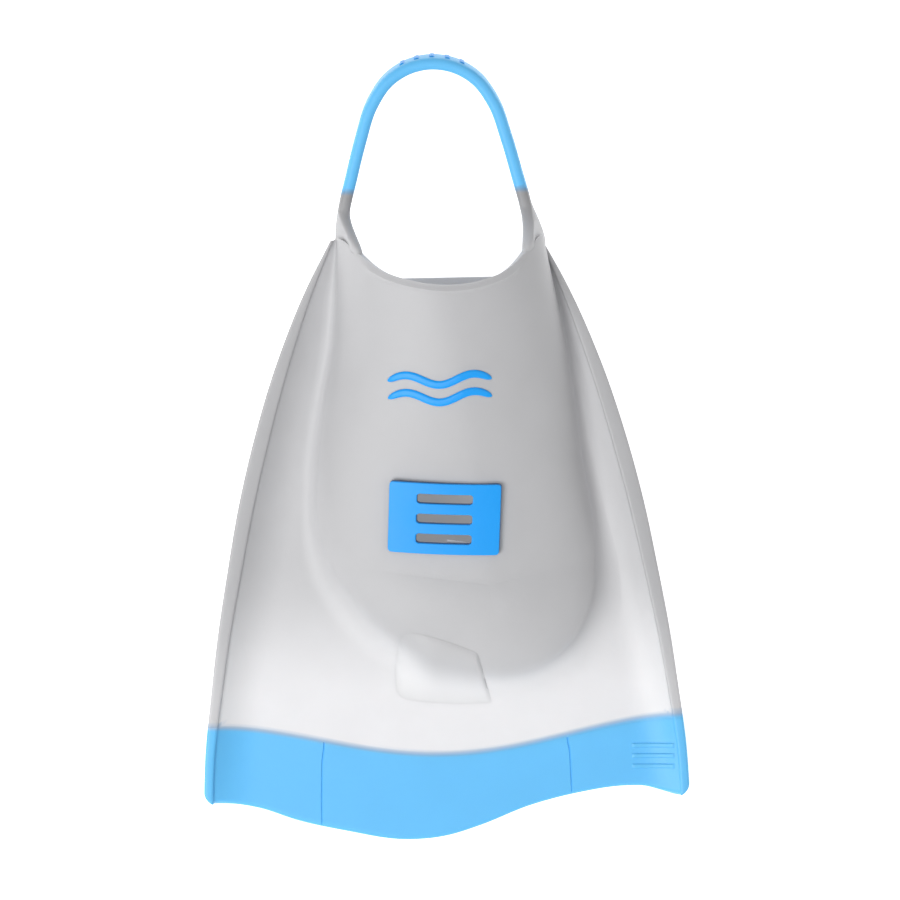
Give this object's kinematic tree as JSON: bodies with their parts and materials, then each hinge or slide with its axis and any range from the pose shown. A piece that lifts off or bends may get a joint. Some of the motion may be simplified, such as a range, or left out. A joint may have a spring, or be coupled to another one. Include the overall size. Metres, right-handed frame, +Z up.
{
  "type": "swim training fin",
  "caption": "Short silicone swim training fin for a right foot, with a closed foot pocket, deep side rails, a flexing blade, a coloured tip and a stretch heel strap.",
  "frame": {"origin": "on the floor under the middle of the fin's outline, where the sole rests", "axes": "+Z up from the sole, +Y towards the heel, +X towards the big-toe side of the right foot"},
  "size_m": [0.2308, 0.3697, 0.0799],
  "materials": {
    "silicone_white": "satin, slightly translucent silicone",
    "silicone_blue": "satin silicone",
    "silicone_deep_blue": "satin silicone"
  },
  "bodies": {
    "foot_pocket": {"pocket_upper": "silicone_white", "sole": "silicone_white", "web_left": "silicone_white", "web_right": "silicone_white", "rail_left_root": "silicone_white", "rail_right_root": "silicone_white", "vent_plate": "silicone_deep_blue", "wave_mark_1": "silicone_deep_blue", "wave_mark_2": "silicone_deep_blue"},
    "blade": {"blade_panel": "silicone_white", "rail_left_mid": "silicone_white", "rail_right_mid": "silicone_white"},
    "blade_tip": {"tip_left_panel": "silicone_blue", "tip_centre_panel": "silicone_blue", "tip_right_panel": "silicone_blue", "rail_left_tip": "silicone_blue", "rail_right_tip": "silicone_blue", "tip_grip_bar_1": "silicone_blue", "tip_grip_bar_2": "silicone_blue", "tip_grip_bar_3": "silicone_blue"},
    "strap_arms": {"strap_arm_left": "silicone_white", "strap_arm_right": "silicone_white"},
    "heel_band": {"strap_band": "silicone_blue", "heel_grip_bar_1": "silicone_blue", "heel_grip_bar_2": "silicone_blue", "heel_grip_bar_3": "silicone_blue", "heel_grip_bar_4": "silicone_blue", "heel_grip_bar_5": "silicone_blue"}
  },
  "joints": [
    {"name": "blade_flex", "type": "hinge", "parent": "foot_pocket", "child": "blade", "pos_m": [0, -0.119, 0.0114], "axis": [1, 0, 0], "range_deg": [-20, 20], "stiffness_Nm_per_rad": 2.5},
    {"name": "tip_flex", "type": "hinge", "parent": "blade", "child": "blade_tip", "pos_m": [0, -0.136, 0.0096], "axis": [1, 0, 0], "range_deg": [-15, 15], "stiffness_Nm_per_rad": 1.2},
    {"name": "strap_swing", "type": "hinge", "parent": "foot_pocket", "child": "strap_arms", "pos_m": [0, 0.105, 0.047], "axis": [1, 0, 0], "range_deg": [-30, 60], "stiffness_Nm_per_rad": 0.4},
    {"name": "strap_stretch", "type": "slide", "parent": "strap_arms", "child": "heel_band", "axis": [0, 0.9703, 0.2419], "range_m": [0, 0.015], "stiffness_N_per_m": 600}
  ]
}
